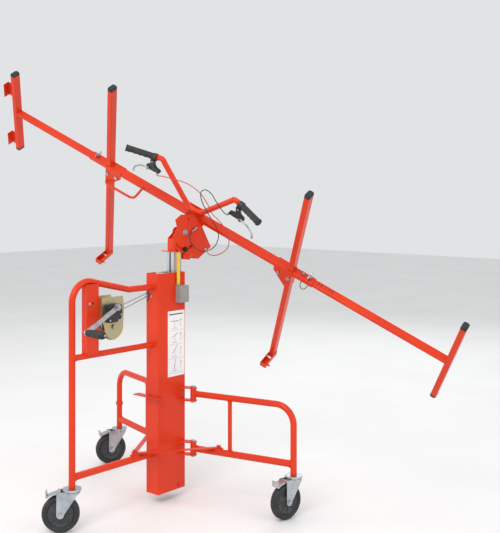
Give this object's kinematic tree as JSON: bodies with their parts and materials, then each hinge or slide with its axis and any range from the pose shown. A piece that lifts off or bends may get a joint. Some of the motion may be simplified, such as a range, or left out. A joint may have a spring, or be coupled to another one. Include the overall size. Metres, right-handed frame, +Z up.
{
  "type": "drywall panel lift",
  "caption": "Folding wheeled panel lift: winch-driven telescopic mast, tilting head and turning cradle with telescopic cross arms and hinged support arms.",
  "frame": {"origin": "on the floor, on the axis of the outer mast", "axes": "+Z up along the mast; -Y towards the fixed leg, the winch and the operator; +X to the side of the crank and the right folding leg"},
  "size_m": [2.3147, 1.296, 1.9259],
  "materials": {
    "paint": "gloss",
    "aluminium": "satin",
    "zinc": "satin",
    "gold_zinc": "satin",
    "black_steel": "satin",
    "wire_rope": "satin",
    "black_plastic": "matte",
    "grey_plastic": "matte",
    "nylon": "matte",
    "tape_yellow": "satin",
    "grip_rubber": "matte",
    "wheel_rubber": "matte",
    "cable_red": "satin",
    "cable_black": "satin"
  },
  "bodies": {
    "base": {"mast_outer": "paint", "mast_guides": "nylon", "leg_a_frame": "paint", "winch_post": "paint", "winch_frame": "gold_zinc", "winch_cover": "black_plastic", "winch_cable": "wire_rope", "tape_box": "grey_plastic", "hinge_bolts": "zinc"},
    "pulley": {"pulley": "zinc"},
    "drum": {"winch_drum": "gold_zinc"},
    "crank": {"winch_crank": "zinc"},
    "crank_grip": {"crank_grip": "grip_rubber"},
    "mast_middle": {"mast_middle": "aluminium"},
    "mast_inner": {"mast_inner": "aluminium", "head_plate": "paint", "head_fork": "paint", "tilt_clamp": "black_steel", "tape_blade": "tape_yellow"},
    "head": {"tilt_body": "paint", "tilt_pin": "zinc", "cable_red": "cable_red", "cable_black": "cable_black"},
    "cradle": {"roll_plate": "paint", "beam": "paint", "upper_arm_left": "paint", "upper_arm_right": "paint", "arm_caps": "black_plastic", "arm_bolts": "zinc", "carry_handle": "paint", "handlebar": "paint", "grips": "grip_rubber", "lever_mounts": "black_plastic"},
    "lever_left": {"lever_left": "zinc"},
    "lever_right": {"lever_right": "zinc"},
    "arm_left": {"arm_left": "paint"},
    "arm_right": {"arm_right": "paint"},
    "hook_left": {"hook_left": "paint"},
    "hook_right": {"hook_right": "paint"},
    "extension_left": {"extension_left": "paint", "end_caps_left": "black_plastic"},
    "extension_right": {"extension_right": "paint", "end_caps_right": "black_plastic"},
    "wing_bolt_left": {"wing_bolt_left": "zinc"},
    "wing_bolt_right": {"wing_bolt_right": "zinc"},
    "lock_pin": {"lock_pin": "zinc"},
    "leg_b": {"leg_b_frame": "paint"},
    "leg_c": {"leg_c_frame": "paint", "brake_cord": "cable_black"},
    "stay_b": {"stay_b": "paint"},
    "stay_c": {"stay_c": "paint"},
    "caster_a": {"caster_a_fork": "zinc"},
    "wheel_a": {"caster_a_wheel": "wheel_rubber"},
    "pedal_a": {"caster_a_pedal": "zinc"},
    "caster_b": {"caster_b_fork": "zinc"},
    "wheel_b": {"caster_b_wheel": "wheel_rubber"},
    "pedal_b": {"caster_b_pedal": "zinc"},
    "caster_c": {"caster_c_fork": "zinc"},
    "wheel_c": {"caster_c_wheel": "wheel_rubber"},
    "pedal_c": {"caster_c_pedal": "zinc"}
  },
  "joints": [
    {"name": "mast_lift", "type": "slide", "parent": "base", "child": "mast_middle", "axis": [0, 0, 1], "range_m": [0, 0.75]},
    {"name": "inner_lift", "type": "slide", "parent": "mast_middle", "child": "mast_inner", "axis": [0, 0, 1], "range_m": [0, 0.75], "deforming": ["tape_blade"]},
    {"name": "pulley_turn", "type": "hinge", "parent": "base", "child": "pulley", "pos_m": [-0.029, -0.072, 0.893], "axis": [1, 0, 0], "range_deg": [-10, 2400]},
    {"name": "drum_turn", "type": "hinge", "parent": "base", "child": "drum", "pos_m": [0, -0.332, 0.795], "axis": [1, 0, 0], "range_deg": [-10, 1050]},
    {"name": "crank_turn", "type": "hinge", "parent": "base", "child": "crank", "pos_m": [0, -0.34, 0.878], "axis": [1, 0, 0], "range_deg": [-2160, 10]},
    {"name": "grip_spin", "type": "hinge", "parent": "crank", "child": "crank_grip", "pos_m": [0.074, -0.49834, 0.79239], "axis": [1, 0, 0], "continuous": true},
    {"name": "head_tilt", "type": "hinge", "parent": "mast_inner", "child": "head", "pos_m": [0, 0.088, 1.165], "axis": [1, 0, 0], "range_deg": [-31.84, 58.16]},
    {"name": "cradle_roll", "type": "hinge", "parent": "head", "child": "cradle", "pos_m": [0, 0.20099, 1.23516], "axis": [0, 0.8495, 0.5275], "range_deg": [-72.54, 7.46]},
    {"name": "extension_left_slide", "type": "slide", "parent": "cradle", "child": "extension_left", "axis": [-0.843, -0.2838, 0.4569], "range_m": [-0.375, 0.08]},
    {"name": "extension_right_slide", "type": "slide", "parent": "cradle", "child": "extension_right", "axis": [0.843, 0.2838, -0.4569], "range_m": [-0.5, 0.02]},
    {"name": "arm_left_fold", "type": "hinge", "parent": "cradle", "child": "arm_left", "pos_m": [-0.44853, 0.07066, 1.44503], "axis": [0, -0.8495, -0.5275], "range_deg": [0, 50]},
    {"name": "arm_right_fold", "type": "hinge", "parent": "cradle", "child": "arm_right", "pos_m": [0.41303, 0.36067, 0.97803], "axis": [0, 0.8495, 0.5275], "range_deg": [0, 50]},
    {"name": "hook_left_turn", "type": "hinge", "parent": "arm_left", "child": "hook_left", "pos_m": [-0.75889, 0.32727, 1.03181], "axis": [0.843, 0.2838, -0.4569], "range_deg": [0, 180]},
    {"name": "hook_right_turn", "type": "hinge", "parent": "arm_right", "child": "hook_right", "pos_m": [0.10267, 0.61728, 0.5648], "axis": [0.843, 0.2838, -0.4569], "range_deg": [0, 180]},
    {"name": "lever_left_squeeze", "type": "hinge", "parent": "cradle", "child": "lever_left", "pos_m": [-0.10855, -0.00542, 1.45382], "axis": [0, 0.8495, 0.5275], "range_deg": [0, 22], "stiffness_Nm_per_rad": 1, "springref_deg": -17.19},
    {"name": "lever_right_squeeze", "type": "hinge", "parent": "cradle", "child": "lever_right", "pos_m": [0.31295, 0.13646, 1.22534], "axis": [0, -0.8495, -0.5275], "range_deg": [0, 22], "stiffness_Nm_per_rad": 1, "springref_deg": -17.19},
    {"name": "wing_left_turn", "type": "hinge", "parent": "cradle", "child": "wing_bolt_left", "pos_m": [-0.48409, 0.02552, 1.51772], "axis": [0.5379, -0.4447, 0.7162], "range_deg": [0, 350]},
    {"name": "wing_right_turn", "type": "hinge", "parent": "cradle", "child": "wing_bolt_right", "pos_m": [0.51657, 0.36235, 0.97532], "axis": [0.5379, -0.4447, 0.7162], "range_deg": [0, 350]},
    {"name": "lock_pin_pull", "type": "slide", "parent": "cradle", "child": "lock_pin", "axis": [0.5379, -0.4447, 0.7162], "range_m": [0, 0.008], "stiffness_N_per_m": 400, "springref_m": -0.005},
    {"name": "leg_b_fold", "type": "hinge", "parent": "base", "child": "leg_b", "pos_m": [0.085, 0.085, 0.3], "axis": [0, 0, 1], "range_deg": [-92, 0]},
    {"name": "leg_c_fold", "type": "hinge", "parent": "base", "child": "leg_c", "pos_m": [-0.085, 0.085, 0.3], "axis": [0, 0, 1], "range_deg": [0, 96]},
    {"name": "stay_b_swing", "type": "hinge", "parent": "base", "child": "stay_b", "pos_m": [0, -0.183, 0.238], "axis": [0, 0, 1], "range_deg": [-120, 0]},
    {"name": "stay_c_swing", "type": "hinge", "parent": "base", "child": "stay_c", "pos_m": [0, -0.183, 0.242], "axis": [0, 0, 1], "range_deg": [0, 120]},
    {"name": "caster_a_swivel", "type": "hinge", "parent": "base", "child": "caster_a", "pos_m": [0, -0.516, 0.185], "axis": [0, 0, 1], "continuous": true},
    {"name": "wheel_a_roll", "type": "hinge", "parent": "caster_a", "child": "wheel_a", "pos_m": [-0.03056, -0.54765, 0.075], "axis": [0.7193, -0.6947, 0], "continuous": true},
    {"name": "pedal_a_press", "type": "hinge", "parent": "caster_a", "child": "pedal_a", "pos_m": [-0.03473, -0.55197, 0.158], "axis": [0.7193, -0.6947, 0], "range_deg": [0, 6]},
    {"name": "caster_b_swivel", "type": "hinge", "parent": "leg_b", "child": "caster_b", "pos_m": [0.56429, 0.18688, 0.185], "axis": [0, 0, 1], "continuous": true},
    {"name": "wheel_b_roll", "type": "hinge", "parent": "caster_b", "child": "wheel_b", "pos_m": [0.55665, 0.14355, 0.075], "axis": [0.9848, -0.1736, 0], "continuous": true},
    {"name": "pedal_b_press", "type": "hinge", "parent": "caster_b", "child": "pedal_b", "pos_m": [0.55561, 0.13764, 0.158], "axis": [0.9848, -0.1736, 0], "range_deg": [0, 6]},
    {"name": "caster_c_swivel", "type": "hinge", "parent": "leg_c", "child": "caster_c", "pos_m": [-0.55602, 0.22006, 0.185], "axis": [0, 0, 1], "continuous": true},
    {"name": "wheel_c_roll", "type": "hinge", "parent": "caster_c", "child": "wheel_c", "pos_m": [-0.57599, 0.18086, 0.075], "axis": [0.891, -0.454, 0], "continuous": true},
    {"name": "pedal_c_press", "type": "hinge", "parent": "caster_c", "child": "pedal_c", "pos_m": [-0.57872, 0.17551, 0.158], "axis": [0.891, -0.454, 0], "range_deg": [0, 6]}
  ],
  "couplings": [
    {"joint": "inner_lift", "follows": "mast_lift", "ratio": 1},
    {"joint": "pulley_turn", "follows": "mast_lift", "rad_per_m": 54.6},
    {"joint": "drum_turn", "follows": "mast_lift", "rad_per_m": 23.8},
    {"joint": "crank_turn", "follows": "mast_lift", "rad_per_m": -49.36}
  ]
}
